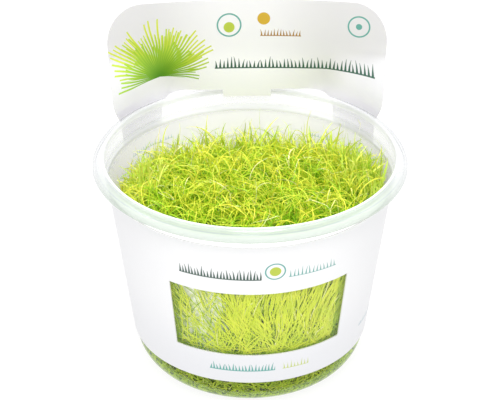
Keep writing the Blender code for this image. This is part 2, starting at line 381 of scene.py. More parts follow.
def clear_plastic():
    book = Book("clear plastic")
    vector, (x, y, z) = book.place()
    facing_share = book.wire("ShaderNodeLayerWeight", None, {"Blend": 0.35}, "Facing")
    edge = facing_share * facing_share * facing_share
    milk = book.noise(vector, 60.0, 3.0)
    radius = (x * x + y * y).math("SQRT")
    flange = book.between(radius, FLANGE_START, FLANGE_FULL) * book.between(z, 70.0, 70.6)
    band = book.between(z, BAND_START, BAND_FULL)
    step = band * book.between(z, 69.4, 67.8)
    foot = book.between(z, FOOT_START, FOOT_FULL)
    border = foot * book.between(facing_share, 0.37, 0.55)
    front = book.between(y, -2.0, -34.0)
    back = book.between(y, 20.0, 36.0) * book.between(abs(x), 34.0, 26.0)
    # A painted highlight along the top of the inner lip, lighter and less clear.
    lip = book.between(radius, 47.4, 46.9) * book.between(z, 72.0, 73.0)
    # Under the front rim the band is painted white, with glow, over the shade that falls there.
    under = front * book.between(z, RIM_UNDERSIDE, 70.6) * book.between(z, 66.0, 66.4)
    # Below the rim's crown the painted glow is dimmer.
    brow = book.between(z, 73.4, 72.8)
    # A painted highlight line along the rim's lower edge, given as glow.
    highlight_line = book.between(0.34 - abs(z - HIGHLIGHT_LINE), 0.0, 0.20)
    alpha = book.clamp(0.015 + 0.02 * milk + 0.40 * edge + 0.16 * band + 0.22 * step
                       + 0.10 * flange + 0.22 * front * band + 0.35 * lip
                       + 0.95 * border + 0.50 * under)
    # Painted green light from the leaves on the front of the rim, paler towards its outer edge.
    outward = book.between(radius, 47.2, 49.4)
    green_leaf_light = book.mix(outward, (0.50, 0.56, 0.48), (0.64, 0.73, 0.62))
    # Painted shade lines across the roll of the front rim.
    shade_lines = sum(book.between(half - abs(radius - middle), 0.0, soft)
                 for middle, half, soft in RIM_SHADE_LINES)
    green_leaf_light = book.mix(book.clamp(shade_lines) * 0.7, green_leaf_light, (0.47, 0.52, 0.57))
    # Painted shade along edges seen at a slant: blue-grey, and near white at the back in front of
    # the card.
    slant_edge_shade = book.mix(back, (0.36, 0.38, 0.48), (0.80, 0.82, 0.86))
    tangle = book.between(book.noise(vector, 850.0, 3.0, 1.2), 0.38, 0.58)
    # At the back the band is painted lighter, standing for white light from the card behind.
    colour = book.layers(
        (0.68, 0.69, 0.70), (front * band, green_leaf_light), (lip, (0.78, 0.79, 0.80)),
        (back * band, (0.86, 0.87, 0.88)), (under, (0.82, 0.82, 0.82)),
        (edge * band * (1.0 - 0.8 * front), slant_edge_shade),
        (foot, book.mix(tangle, (0.06, 0.13, 0.02), (0.38, 0.55, 0.04))))
    # A painted glow on the front band of the rim, apart from its outer flange: strongest near the
    # top, with the highlight line and the white under the rim.
    glow = book.layers((0.34, 0.38, 0.33), (brow, (0.20, 0.25, 0.18)),
                       (highlight_line, (0.72, 0.72, 0.73)), (under, (0.62, 0.62, 0.62)))
    book.glow(book.mix(front * band * (1.0 - flange), BLACK, glow))
    book.bump(book.noise(vector, 900.0, 2.0), 0.04, 0.0002)
    return book.finish(colour, 0.05 + 0.05 * milk, Alpha=alpha,
                       IOR=1.49, Specular_IOR_Level=0.3)


# %% [markdown]
# The tub's half section runs up the outside, over the rolled rim and down the inside. Turning
# it about the upright axis makes the whole tub. A Screw modifier could do the same; points on
# circles are simpler to keep free of seams.

# %% The tub's section
ARC_POINTS = 12


def corner_arc(offset):
    """The rounded lower corner, from the flat underside up to the wall."""
    centre = CONE_RADIUS - CONE_START
    reach = CONE_START - offset
    return [(centre + reach * math.sin(a), CONE_START - reach * math.cos(a))
            for a in steps(0.0, math.pi / 2.0, ARC_POINTS)]


def tub_section():
    outer = corner_arc(0.0)
    outer += [(wall_radius(z), z) for z in steps(0.016, SHOULDER, 8)]
    band_foot = wall_radius(SHOULDER) + SHOULDER_STEP
    outer += [(band_foot - 0.0003, SHOULDER + 0.0001), (band_foot, SHOULDER + 0.0006)]
    outer += [(LIP_RADIUS + WALL * 0.75, TUB_HEIGHT - WALL - 0.0004)]
    roll = RIM_RADIUS - LIP_RADIUS - WALL
    under = [(LIP_RADIUS + WALL + (roll - WALL) * math.sin(a),
              TUB_HEIGHT - WALL - (RIM_DROP - WALL) * (1.0 - math.cos(a)))
             for a in steps(0.25, math.pi / 2.0, 8)]
    edge = [(RIM_RADIUS - WALL, TUB_HEIGHT - RIM_DROP - 0.0004),
            (RIM_RADIUS - WALL * 0.6, TUB_HEIGHT - RIM_DROP - 0.0005),
            (RIM_RADIUS - WALL * 0.2, TUB_HEIGHT - RIM_DROP - 0.0003)]
    over = [(LIP_RADIUS + WALL + roll * math.sin(a), TUB_HEIGHT - RIM_DROP * (1.0 - math.cos(a)))
            for a in steps(math.pi / 2.0, 0.0, 10)]
    lip = [(LIP_RADIUS + 0.0003, TUB_HEIGHT - 0.00005), (LIP_RADIUS, TUB_HEIGHT - 0.0003)]
    inner_top = wall_radius(SHOULDER) - WALL
    inner = [(inner_top + SHOULDER_STEP, SHOULDER + 0.0004), (inner_top, SHOULDER - 0.0004)]
    inner += [(wall_radius(z) - WALL, z) for z in steps(SHOULDER - 0.003, 0.016, 7)]
    inner += list(reversed(corner_arc(WALL)))
    return outer + under + edge + over + lip + inner


def turned(name, section, segments, materials, smooth_angle):
    """Turn a half section about the upright axis; both ends close on the axis."""
    points = []
    for r, z in section:
        for k in range(segments):
            a = 2.0 * math.pi * k / segments
            points.append((r * math.cos(a), r * math.sin(a), z))
    faces = sheet_faces(len(section), segments, True)
    first, last = len(points), len(points) + 1
    points += [(0.0, 0.0, section[0][1]), (0.0, 0.0, section[-1][1])]
    top = (len(section) - 1) * segments
    for k in range(segments):
        following = (k + 1) % segments
        faces.append((first, following, k))
        faces.append((last, top + k, top + following))
    return piece_from(name, points, faces, materials, smooth_angle)


TUB_SEGMENTS = 160
tub = turned("clear_tub", tub_section(), TUB_SEGMENTS, [clear_plastic()], 45)
settle(tub, "tub", "tub")

# %% [markdown]
# ## The card
# One die-cut card makes the sleeve, the strips and the header. It is drawn as a sheet of points
# on its outer side; a Solidify modifier then gives it the thickness of board, a second material
# on its inner side and a third on its cut edges.

# %% The card's shape
def header_half_width(z):
    corner_base = HEADER_TOP - HEADER_CORNER_RISE
    if z > corner_base:
        rise = min((z - corner_base) / HEADER_CORNER_RISE, 1.0)
        return HEADER_HALF_WIDTH - HEADER_CORNER * (1.0 - math.sqrt(1.0 - rise * rise))
    t = min((z - SLEEVE_TOP) / (HEADER_WIDEST - SLEEVE_TOP), 1.0)
    return STRIP_HALF_WIDTH + (HEADER_HALF_WIDTH - STRIP_HALF_WIDTH) * math.sin(t * math.pi / 2.0)


def header_depth(x, z):
    """Distance of the header's front face behind the axis."""
    sleeve_radius = wall_radius(SLEEVE_TOP) + GAP
    rise = min((z - SLEEVE_TOP) / (STRIP_CLEAR - SLEEVE_TOP), 1.0)
    radius = sleeve_radius + (STRIP_RADIUS - sleeve_radius) * rise
    hug = min(math.sqrt(max(radius * radius - x * x, 0.0)), HEADER_PLANE)
    flat = HEADER_PLANE + HEADER_LEAN * (z - SLOT_TOP) - HEADER_CURL * x * x
    blend = smoothstep(TUB_HEIGHT, HEADER_FLAT, z)
    return hug * (1.0 - blend) + flat * blend


def slot_half_width(z):
    """Straight sides, then round corners that follow the rim behind."""
    narrowing = SLOT_HALF_WIDTH - SLOT_CROWN
    if z > SLOT_TOP:
        return SLOT_CROWN + narrowing * smoothstep(SLOT_TOP, HEADER_FLAT, z)
    rise = max((z - SLOT_SPRING) / (SLOT_TOP - SLOT_SPRING), 0.0)
    return SLOT_HALF_WIDTH - narrowing * (1.0 - math.sqrt(1.0 - rise * rise))


def header_columns(z):
    inner = steps(0.0, TAB_HALF_WIDTH, 5)
    inner += steps(TAB_HALF_WIDTH, slot_half_width(z), 13)[1:]
    outer = steps(slot_half_width(z), header_half_width(z), 13)[1:]
    right = inner + outer
    return [-x for x in reversed(right[1:])] + right


def header_rows():
    rows = steps(SLEEVE_TOP, STRIP_CLEAR, 6) + steps(STRIP_CLEAR, TAB_BOTTOM, 4)[1:]
    rows += steps(TAB_BOTTOM, TUB_HEIGHT, 5)[1:] + steps(TUB_HEIGHT, SLOT_TOP, 5)[1:-1]
    rows += steps(SLOT_TOP, HEADER_FLAT, 14)
    base = HEADER_TOP - HEADER_CORNER_RISE
    rows += [base + HEADER_CORNER_RISE * math.sin(a) for a in steps(0.0, math.pi / 2.0, 15)]
    return rows


def card_points():
    """All points of the card's inner side, and the faces between them."""
    turn = Matrix.Rotation(HEADER_TURN, 3, "Z")
    columns = header_columns(SLEEVE_TOP)
    sleeve_radius = wall_radius(SLEEVE_TOP) + GAP
    back = [HEADER_TURN - math.asin(x / sleeve_radius) for x in columns]
    right_side = steps(back[-1], WINDOW_RIGHT - math.pi, 36)[1:]
    window = steps(WINDOW_RIGHT - math.pi, WINDOW_LEFT - math.pi, 61)[1:]
    left_side = steps(WINDOW_LEFT - math.pi, back[0] - 2.0 * math.pi, 40)[1:-1]
    angles = back + right_side + window + left_side
    first = len(back) + len(right_side) - 1
    heights = steps(SLEEVE_BOTTOM, WINDOW_BOTTOM, 4) + steps(WINDOW_BOTTOM, WINDOW_TOP, 7)[1:]
    heights += steps(WINDOW_TOP, SLEEVE_TOP, 6)[1:]
    points = []
    for z in heights:
        radius = wall_radius(z) + GAP
        points += [Vector((-radius * math.sin(a), radius * math.cos(a), z)) for a in angles]

    def in_window(r, c):
        middle = (heights[r] + heights[r + 1]) / 2.0
        return WINDOW_BOTTOM < middle < WINDOW_TOP and first <= c < first + len(window)

    faces = sheet_faces(len(heights), len(angles), True, in_window)
    rows = header_rows()
    below = [(len(heights) - 1) * len(angles) + c for c in range(len(columns))]
    for low, high in zip(rows, rows[1:]):
        line = []
        for x in header_columns(high):
            line.append(len(points))
            points.append(turn @ Vector((x, header_depth(x, high), high)))
        middle = (low + high) / 2.0
        for c in range(len(columns) - 1):
            across = abs(columns[c] + columns[c + 1]) / 2.0
            in_slot = across < SLOT_HALF_WIDTH and middle < SLOT_TOP
            in_tab = across < TAB_HALF_WIDTH and middle > TAB_BOTTOM
            if not in_slot or in_tab:
                faces.append((below[c], below[c + 1], line[c + 1], line[c]))
        below = line
    return points, faces


# %% [markdown]
# ## Board and print
# Coated board is white and slightly glossy, with a faint mottle and fine fibres. The card is
# printed with plain ornaments: rows of small grass strokes, a fan of blades, dots and rings.
# Each is a mask worked out from the place on the card, in millimetres. An image file could do
# the same, but masks stay sharp at any size and need no file.

# %% Masks for the ornaments
INK_DARK = (0.055, 0.105, 0.085)
INK_TEAL = (0.13, 0.40, 0.36)
INK_PINE = (0.035, 0.110, 0.075)
INK_BROWN = (0.38, 0.18, 0.015)
INK_LIME = (0.50, 0.60, 0.06)
INK_OCHRE = (0.68, 0.42, 0.03)
INK_PALE = (0.40, 0.52, 0.56)
SOFT_EDGE = 0.12


def ink_box(book, u, v, centre, half):
    """A filled rectangle with soft edges: one inside, nought outside."""
    across = book.between(half[0] - abs(u - centre[0]), 0.0, SOFT_EDGE)
    return across * book.between(half[1] - abs(v - centre[1]), 0.0, SOFT_EDGE)


def dice(book, cell, seed):
    """A random number from nought to one for each whole number."""
    return book.wire("ShaderNodeTexWhiteNoise", {"noise_dimensions": "1D"}, {"W": cell + seed},
                     "Value")


def ink_grass(book, u, v, left, right, ground, height, pitch, width):
    """A row of pointed blades of uneven height and bend on a thin line of ground."""
    cell = ((u - left) / pitch).math("FLOOR")
    tall = height * (0.60 + 0.40 * dice(book, cell, ground + 0.5))
    rise = (v - ground) / tall
    lean = (dice(book, cell, ground + 40.5) - 0.5) * pitch
    local = u - left - (cell + 0.5) * pitch - lean * rise * rise
    blade = book.between(width * (1.0 - 0.8 * rise) / 2.0 - abs(local), 0.0, SOFT_EDGE)
    blade = blade * (rise > 0.0) * (rise < 1.0) * (u > left) * (u < right)
    middle, half = (left + right) / 2.0, (right - left) / 2.0
    return book.clamp(blade + ink_box(book, u, v, (middle, ground), (half, width * 0.28)))


def distance_from(u, v, centre):
    across, up = u - centre[0], v - centre[1]
    return (across * across + up * up).math("SQRT")


def ink_ring(book, u, v, centre, radius, line):
    return book.between(line / 2.0 - abs(distance_from(u, v, centre) - radius), 0.0, SOFT_EDGE)


def ink_disc(book, u, v, centre, radius):
    return book.between(radius - distance_from(u, v, centre), 0.0, SOFT_EDGE)


def drawn(book, u, v, ornaments):
    """Masks and inks for a list of ornaments: a shape, its ink and the sizes it takes."""
    return [(shape(book, u, v, *sizes), ink) for shape, ink, *sizes in ornaments]


def board_base(book, vector, shaded, bright):
    """Coated board: a mottle between two near whites, its roughness and a fine fibre relief."""
    mottle = book.noise(vector, 220.0, 3.0)
    fibre = book.noise(vector, 2600.0, 2.0)
    white = book.mix(mottle, shaded, bright)
    book.bump(fibre + 0.6 * mottle, 0.10, 0.0001)
    return white, 0.36 + 0.12 * mottle


# %% [markdown]
# The sleeve's ornaments sit above and below the window, with two pale groups on the right side.
# They follow the cone, so their place across is an angle about the upright axis, turned into
# millimetres of arc.

# %% Outer side of the card
ARC_PER_RADIAN = 43.0


SLEEVE_PRINT = [(ink_grass, INK_DARK, -21.8, 3.4, 54.5, 4.0, 0.98, 0.86),
                (ink_grass, INK_TEAL, 11.4, 27.2, 54.8, 3.8, 1.20, 0.60),
                (ink_disc, INK_LIME, (7.4, 57.4), 1.75),
                (ink_ring, INK_TEAL, (7.4, 57.4), 2.9, 0.55),
                (ink_grass, INK_TEAL, -14.0, 8.6, 17.5, 3.3, 1.10, 0.86),
                (ink_grass, INK_LIME, 11.2, 20.8, 17.6, 3.1, 1.25, 0.56),
                (ink_grass, INK_PALE, 46.0, 62.0, 20.6, 2.4, 1.3, 0.70),
                (ink_grass, INK_PALE, 69.5, 80.0, 27.0, 9.0, 2.3, 0.90)]


def sleeve_board():
    book = Book("printed board outside")
    vector, (x, y, z) = book.place()
    white, roughness = board_base(book, vector, (0.905, 0.905, 0.915), (0.925, 0.925, 0.93))
    arc = x.math("ARCTAN2", y * -1.0) * ARC_PER_RADIAN
    # Painted shade: the board is greyer and bluer towards the bottom, and greyer at the sides.
    colour = book.layers(white, (book.between(z, 46.0, 14.0) * 0.9, (0.775, 0.78, 0.81)),
                         (book.between(abs(x), 18.0, 44.0) * 0.7, (0.81, 0.81, 0.825)),
                         *drawn(book, arc, z, SLEEVE_PRINT))
    return book.finish(colour, roughness, Specular_IOR_Level=0.5)


# %% [markdown]
# The header's front carries a fan of blades at the left, two small marks, a ring at the right
# and a long row of strokes. Its place is read from x and height, and these ornaments stay above
# the slot. Lower down, the inside of the sleeve shows through the tub's back wall, with three
# rows of fine strokes. Thin board lets light through from behind, so both give off a little
# painted glow, but not where ink lies on it. The header's front also has painted light and
# shade: lighter in the middle and low in the middle, darker at both sides and on the wings that
# face upwards.

# %% Inner side of the card, with the header's front
FAN_FOOT = (-30.4, 81.2)


def ink_fan(book, u, v, reach, spread, blades, seed):
    """Blades that spread from one foot: a mask, and how far out along the blade it is."""
    du, dv = u - FAN_FOOT[0], v - FAN_FOOT[1]
    out = (du * du + dv * dv).math("SQRT") / reach
    angle = du.math("ARCTAN2", dv) / math.radians(spread)
    turn = (angle + 1.0) * (blades / 2.0) + 0.35 * (out * 5.0 + seed).math("SINE")
    cell = turn.math("FLOOR")
    length = 0.70 + 0.30 * dice(book, cell, seed)
    wide = 0.66 * (1.0 - 0.66 * out / length)
    blade = book.between(wide - abs(turn - cell - 0.5), 0.0, 0.12)
    blade = blade * (out < length) * (abs(angle) < 1.0) * (dv > -2.0)
    return blade, out


FAN_LAYERS = [(20.5, 68.0, 31.0, 3.5, (0.30, 0.50, 0.03), (0.66, 0.74, 0.06)),
              (17.5, 84.0, 35.0, 8.5, (0.16, 0.36, 0.02), (0.50, 0.66, 0.04)),
              (13.5, 99.0, 37.0, 5.5, (0.06, 0.24, 0.01), (0.34, 0.58, 0.03))]


HEADER_PRINT = [(ink_grass, INK_PINE, -12.0, 41.8, 83.2, 4.1, 1.28, 0.95),
                (ink_ring, INK_TEAL, (-7.0, 98.4), 3.9, 0.65),
                (ink_disc, INK_LIME, (-7.0, 97.6), 1.9),
                (ink_disc, INK_OCHRE, (4.6, 100.6), 2.2),
                (ink_grass, INK_BROWN, 3.4, 17.2, 94.6, 2.7, 1.06, 0.72),
                (ink_ring, INK_TEAL, (36.3, 98.8), 3.5, 0.65),
                (ink_disc, INK_TEAL, (36.3, 98.8), 1.1)]
INNER_ROWS = [(-46.0, -27.0, 60.6), (-51.0, -34.0, 57.2), (20.0, 50.0, 59.6)]


def header_marks(book, x, z):
    """Pairs of a mask and an ink for the front of the header, in the order of printing."""
    marks = []
    for reach, spread, blades, seed, foot, tip in FAN_LAYERS:
        blade, out = ink_fan(book, x, z, reach, spread, blades, seed)
        marks.append((blade, book.mix(book.clamp(out * 1.2), foot, tip)))
    return marks + drawn(book, x, z, HEADER_PRINT)


def header_board():
    book = Book("printed board inside")
    vector, (x, y, z) = book.place()
    white, roughness = board_base(book, vector, (0.730, 0.720, 0.745), (0.750, 0.740, 0.760))
    # Masks for painted light on the header: lighter in the middle and low in the middle, a painted
    # glow on the strips; the wings that face upwards get painted shade.
    centre = book.between(abs(x + 3.0), 32.0, 4.0)
    low_centre_light = book.between(z, 96.0, 76.0) * book.between(abs(x), 44.0, 12.0)
    strips = book.between(z, 86.0, 76.0) * book.between(abs(x), 24.0, 34.0)
    wings = book.between(abs(x), 30.0, 42.0) * book.between(z, 92.0, 86.5)
    wings = wings * book.between(z, 73.5, 79.0)
    reverse = book.between(z, 66.6, 66.0)
    marks = header_marks(book, x, z)
    inked = sum(mask for mask, ink in marks)
    arc = x.math("ARCTAN2", y) * ARC_PER_RADIAN
    lines = book.clamp(sum(ink_grass(book, arc, z, left, right, ground, 1.9, 1.1, 0.42)
                           for left, right, ground in INNER_ROWS))
    # Painted shade at the right and left sides, painted light in the middle and low centre, painted
    # shade on the wings, then the print.
    colour = book.layers(
        white, (book.between(x, 22.0, 44.0) * 0.2, (0.70, 0.69, 0.72)),
        (book.between(x, -8.0, -36.0) * 0.3, (0.68, 0.675, 0.70)),
        (centre * 0.6, (0.84, 0.835, 0.84)), (low_centre_light * 0.7, (0.85, 0.85, 0.84)),
        (wings, (0.64, 0.64, 0.65)), *marks, (lines * reverse, (0.22, 0.44, 0.41)))
    # Painted glow: faint all over, more in the middle, low down and on the strips, none on ink and
    # less on the wings; the sleeve's inside glows more, less on its strokes.
    glow = book.layers(
        (0.045, 0.035, 0.050),
        (book.clamp(centre * 0.5 + low_centre_light * 0.5 + strips * 0.6), (0.22, 0.21, 0.25)),
        (book.clamp(inked + wings * 0.3), BLACK))
    glow_behind = book.mix(lines, (0.335, 0.310, 0.400), (0.10, 0.14, 0.15))
    book.glow(book.mix(reverse, glow, glow_behind))
    return book.finish(colour, roughness, Specular_IOR_Level=0.5)


def cut_edge():
    """The cut edge of board shows its greyer, rougher core."""
    book = Book("cut board edge")
    vector, _ = book.place()
    grain = book.noise(vector, 1800.0, 3.0)
    return book.finish(book.mix(grain, (0.72, 0.72, 0.70), (0.86, 0.86, 0.85)), 0.8)


# %% The card as one piece
points, faces = card_points()
card = piece_from("card_sleeve", points, faces, [sleeve_board(), header_board(), cut_edge()])
mesh = card.data
outward = sum(p.area * p.normal.dot(Vector((p.center.x, p.center.y, 0.0))) for p in mesh.polygons)
if outward < 0.0:
    mesh.flip_normals()
print("card points:", len(points), "faces looked outward:", outward > 0.0)
thickness = card.modifiers.new("board", "SOLIDIFY")
thickness.thickness = CARD
thickness.offset = 1.0
thickness.use_even_offset = True
thickness.material_offset = 1
thickness.material_offset_rim = 2
bake_modifiers(card)
inside_faces = 0
for polygon in card.data.polygons:
    if polygon.material_index == 2:
        continue
    away = Vector((polygon.center.x, polygon.center.y, 0.0))
    faces_in = polygon.normal.dot(away) < 0.0
    polygon.material_index = 1 if faces_in else 0
    inside_faces += faces_in
card.data.set_sharp_from_angle(angle=math.radians(35))
print("inner faces:", inside_faces)
settle(card, "sleeve", "sleeve")

# %% [markdown]
# ## Leaf colour
# Grassleaf bladderwort is a bright yellow-green, golden where the light is strongest, and dark
# down in the mat where little light comes. Each point of a blade carries three numbers for its
# material: how far along the blade it is, how deeply shaded it lies, and the blade's own tint.

# %% Leaf materials
DEEP = (0.030, 0.150, 0.004)
GREEN = (0.15, 0.46, 0.010)
LIME = (0.34, 0.72, 0.018)
GOLD = (0.73, 0.77, 0.045)
CREAM = (0.97, 0.90, 0.50)


def leaf_green(name, lit, middle, dark, gold, gold_from, pale, pale_share):
    """Leaf colour from the attributes shade, tint and along; gold starts at a tint."""
    book = Book(name)
    vector, _ = book.place()
    shade = book.attribute("shade")
    tint = book.attribute("tint")
    along = book.attribute("along")
    open_air = book.between(shade, 0.80, 0.15)
    sunny = book.between(tint + 0.25 * along, gold_from, gold_from + 0.5) * open_air
    # A painted cream highlight on a few blades out in the open, picked by their tint.
    cream_highlight = book.between(tint, 1.0 - pale_share, 1.0 - pale_share * 0.6) * open_air
    patches = book.noise(vector, 130.0, 2.0)
    colour = book.layers(
        lit, (book.between(shade, 0.05, 0.50), middle), (sunny, gold), (cream_highlight, pale),
        (book.between(shade, 0.35, 1.0), dark),
        (book.between(patches, 0.45, 0.65) * 0.30 * open_air, middle))
    book.bump(book.noise(vector, 3000.0, 2.0), 0.15, 0.0001)
    return book.finish(colour, 0.34 + 0.16 * patches, Specular_IOR_Level=0.3)


carpet_green = leaf_green("carpet leaves", (0.39, 0.73, 0.022), GREEN, DEEP, GOLD, 0.80,
                          CREAM, 0.010)
arch_green = leaf_green("arching leaves", (0.44, 0.74, 0.024), GREEN, DEEP, GOLD, 0.40,
                        CREAM, 0.020)
# The edge leaves stand upright and catch less light from above; their lighter greens are painted
# light.
edge_green = leaf_green("edge leaves", (0.67, 0.86, 0.110), (0.33, 0.62, 0.035), GREEN,
                        (0.88, 0.88, 0.17), 0.50, CREAM, 0.03)
runner_gold = leaf_green("golden runners", (0.58, 0.74, 0.035), LIME, GREEN,
                         (0.82, 0.79, 0.060), 0.10, CREAM, 0.06)
wall_green = leaf_green("pressed leaves", (0.72, 0.85, 0.035), (0.48, 0.66, 0.022),
                        (0.23, 0.44, 0.004), (0.78, 0.84, 0.060), 0.55, (0.82, 0.86, 0.30), 0.05)
foot_green = leaf_green("foot leaves", (0.40, 0.56, 0.025), (0.20, 0.31, 0.018),
                        (0.025, 0.045, 0.022), (0.50, 0.60, 0.04), 0.45, (0.58, 0.66, 0.15), 0.08)


def heart_shade_material():
    """Painted deep shade in the heart of the mat, paler in patches against the wall."""
    book = Book("shaded heart")
    vector, (x, y, z) = book.place()
    clumps = book.noise(vector, 500.0, 4.0)
    inner = book.mix(clumps, (0.015, 0.065, 0.003), (0.10, 0.28, 0.012))
    # Painted shade: darkest and greyest low down at the foot.
    low = book.between(z, 15.0, 13.0)
    inner = book.mix(low, inner, book.mix(clumps, (0.015, 0.025, 0.030), (0.05, 0.08, 0.03)))
    # Paler in patches where the heart lies against the wall.
    pale_patch = book.mix(book.between(clumps, 0.30, 0.60), (0.50, 0.58, 0.26), (0.92, 0.92, 0.88))
    edge = book.between((x * x + y * y).math("SQRT"), 35.0, 37.0) * book.between(z, 13.0, 24.0)
    edge = edge * book.between(z, 56.0, 50.0)
    left = book.between(x, 2.0, -12.0) * book.between(y, -10.0, -20.0)
    # A painted glow on the left stands for daylight coming through between the leaves.
    book.glow(book.mix(edge * left, BLACK, (0.14, 0.15, 0.09)))
    return book.finish(book.mix(edge, inner, pale_patch), 0.55 - 0.3 * edge)


# %% [markdown]
# ## The heart of the mat
# Between the outer leaves one sees only tangled stems in deep shade. A lumpy body a few
# millimetres inside the leaf tips stands for them, and it keeps light from shining through the
# mat; its dark green is painted shade. Against the wall it is paler in patches, and on the left
# a painted glow stands for daylight that comes through between them.

# %% The shaded heart
HEART_DEPTH = 0.0062
HEART_SIDE = 0.0016
HEART_SEGMENTS = 90
HEART_RINGS = 26
HEART_LUMPS = 0.0018


def heart_section(angle):
    """Points of the heart in one upright plane, from the floor up and in to the middle."""
    direction = Vector((math.cos(angle), math.sin(angle), 0.0))
    lump = lumpy(direction.x * 6.0, direction.y * 6.0, 2.0) * 0.0005
    edge = direction * (inside_radius(0.062) - HEART_SIDE)
    edge_height = canopy_height(edge.x, edge.y) - HEART_DEPTH * 0.8
    line = []
    for z in steps(WALL + 0.0012, edge_height, 12):
        line.append(direction * (inside_radius(z) - HEART_SIDE + lump) + Vector((0, 0, z)))
    outer = line[-1].xy.length
    for k in range(1, HEART_RINGS):
        r = outer * (1.0 - k / HEART_RINGS)
        x, y = direction.x * r, direction.y * r
        bumps = lumpy(x * 260.0, y * 260.0, 0.5) * HEART_LUMPS
        line.append(Vector((x, y, canopy_height(x, y) - HEART_DEPTH + bumps)))
    return line


sections = [heart_section(2.0 * math.pi * k / HEART_SEGMENTS) for k in range(HEART_SEGMENTS)]
rows = len(sections[0])
heart_points = [sections[c][r] for r in range(rows) for c in range(HEART_SEGMENTS)]
heart_faces = sheet_faces(rows, HEART_SEGMENTS, True)
heart_faces.append(tuple(reversed(range(HEART_SEGMENTS))))
heart_faces.append(tuple((rows - 1) * HEART_SEGMENTS + c for c in range(HEART_SEGMENTS)))
heart = piece_from("mat_heart", heart_points, heart_faces, [heart_shade_material()])
settle(heart, "mat", "bladderwort_mat")

# %% [markdown]
# ## Template blades
# The carpet repeats a few blades thousands of times. Each template is a narrow ribbon that bends
# and twists as it rises, and each is bent a little differently, so a random pick, turn and size
# make the carpet look grown. The ribbon's side is carried along its path without needless turn.

# %% Templates
def curled_path(length, count, bend, gather, twist):
    """Walk upwards while bending over and swinging round; gather moves the bend to the tip."""
    spot = Vector()
    path = [spot]
    for k in range(1, count):
        t = k / (count - 1)
        pitch, yaw = bend * t ** gather, twist * t
        spot = spot + Vector((math.sin(pitch) * math.cos(yaw), math.sin(pitch) * math.sin(yaw),
                              math.cos(pitch))) * (length / (count - 1))
        path.append(spot)
    return path


def leaf_width(t):
    """Even for most of its length, then drawn out to a fine tip."""
    return 0.75 + 0.25 * math.sin(math.pi * t) - 0.55 * smoothstep(0.6, 1.0, t)


def heading_at(path, k):
    """The way a path runs at one of its points."""
    return path[min(k + 1, len(path) - 1)] - path[max(k - 1, 0)]


def ribbon(name, path, width):
    """A flat blade along a path, as an object without a material."""
    points = []
    side = Vector((0.0, 1.0, 0.0))
    last = len(path) - 1
    for k, spot in enumerate(path):
        ahead = heading_at(path, k).normalized()
        side = (side - ahead * side.dot(ahead)).normalized()
        half = side * (width * leaf_width(k / last) / 2.0)
        points += [spot - half, spot + half]
    made = piece_from(name, points, sheet_faces(len(path), 2), [])
    store(made, "along", [(k // 2) / last for k in range(len(points))])
    return made


def template_set(name, length, width, count, bends, seed):
    """Some ribbons of one kind, gathered in a collection that is not shown."""
    draw = random.Random(seed)
    group = bpy.data.collections.new(name)
    for k, bend in enumerate(bends):
        path = curled_path(length, count, math.radians(bend), draw.uniform(0.8, 1.7),
                           draw.uniform(-2.2, 2.2))
        item = ribbon(f"{name}_{k}", path, width)
        scene.collection.objects.unlink(item)
        group.objects.link(item)
    return group


blade_group = template_set("blade", 0.0088, 0.00042, 7, [20, 45, 70, 95, 120, 150, -35, 60], 4)
arch_group = template_set("arch", 0.0160, 0.00036, 12, [70, 100, 130, 160, 190, 220, 115, 145], 5)
curl_group = template_set("curl", 0.0180, 0.00025, 14, [100, 140, 180, 230, 280, 120, 160, 200], 6)
stalk_group = template_set("stalk", 0.0180, 0.00062, 10, [25, 60, 95, 40, 130, 15, 75, -50], 9)
edge_group = template_set("edge", 0.0160, 0.00046, 9, [5, 15, 30, 12, 45, 70, 20, 110], 7)
print("templates:", len(bpy.data.collections), "kinds")

# %% [markdown]
# ## Growing the carpet with Geometry Nodes
# Scattering by hand would take thousands of lines. A Geometry Nodes tree does it from a few
# named inputs: it drops points on a bed, plants a random template on each, leans and turns it,
# keeps every point inside the tub's wall, and makes one real mesh of the result.

# %% The scattering tree
WALL_CLEARANCE = 0.0004
RIM_CLEARANCE = 0.0006


class Garden(Graph):
    """A Geometry Nodes tree with named inputs."""

    def __init__(self, name):
        super().__init__(bpy.data.node_groups.new(name, "GeometryNodeTree"))
        for way in ("OUTPUT", "INPUT"):
            self.tree.interface.new_socket("Geometry", in_out=way,
                                           socket_type="NodeSocketGeometry")
        self.inside = self.tree.nodes.new("NodeGroupInput")
        self.outside = self.tree.nodes.new("NodeGroupOutput")

    def ask(self, name, kind):
        """Add a named input to the tree."""
        self.tree.interface.new_socket(name, in_out="INPUT", socket_type="NodeSocket" + kind)
        return Wire(self, self.inside.outputs[name])

    def dice(self, seed, **limits):
        """A random number for each point, from nought to one unless Min and Max are given."""
        made = self.node("FunctionNodeRandomValue", {"data_type": "FLOAT"}, {"Seed": seed})
        for socket in made.inputs:
            if socket.enabled and socket.type == "VALUE" and socket.name in limits:
                self.feed(socket, limits[socket.name])
        return Wire(self, next(s for s in made.outputs if s.enabled and s.type == "VALUE"))


def keep_inside(g, geometry):
    """Pull points that would pass through the wall back to just inside it."""
    x, y, z = g.split(g.wire("GeometryNodeInputPosition"))
    radius = (x * x + y * y).math("SQRT").math("MAXIMUM", 0.001)
    room = ((z.math("MINIMUM", SHOULDER) - CONE_START) * TAPER
            + (CONE_RADIUS - WALL - WALL_CLEARANCE))
    factor = (room / radius).math("MINIMUM", 1.0)
    top = z.math("MINIMUM", TUB_HEIGHT - RIM_CLEARANCE)
    moved = g.wire("ShaderNodeCombineXYZ", None, {0: x * factor, 1: y * factor, 2: top})
    return g.wire("GeometryNodeSetPosition", None, {"Geometry": geometry, "Position": moved})


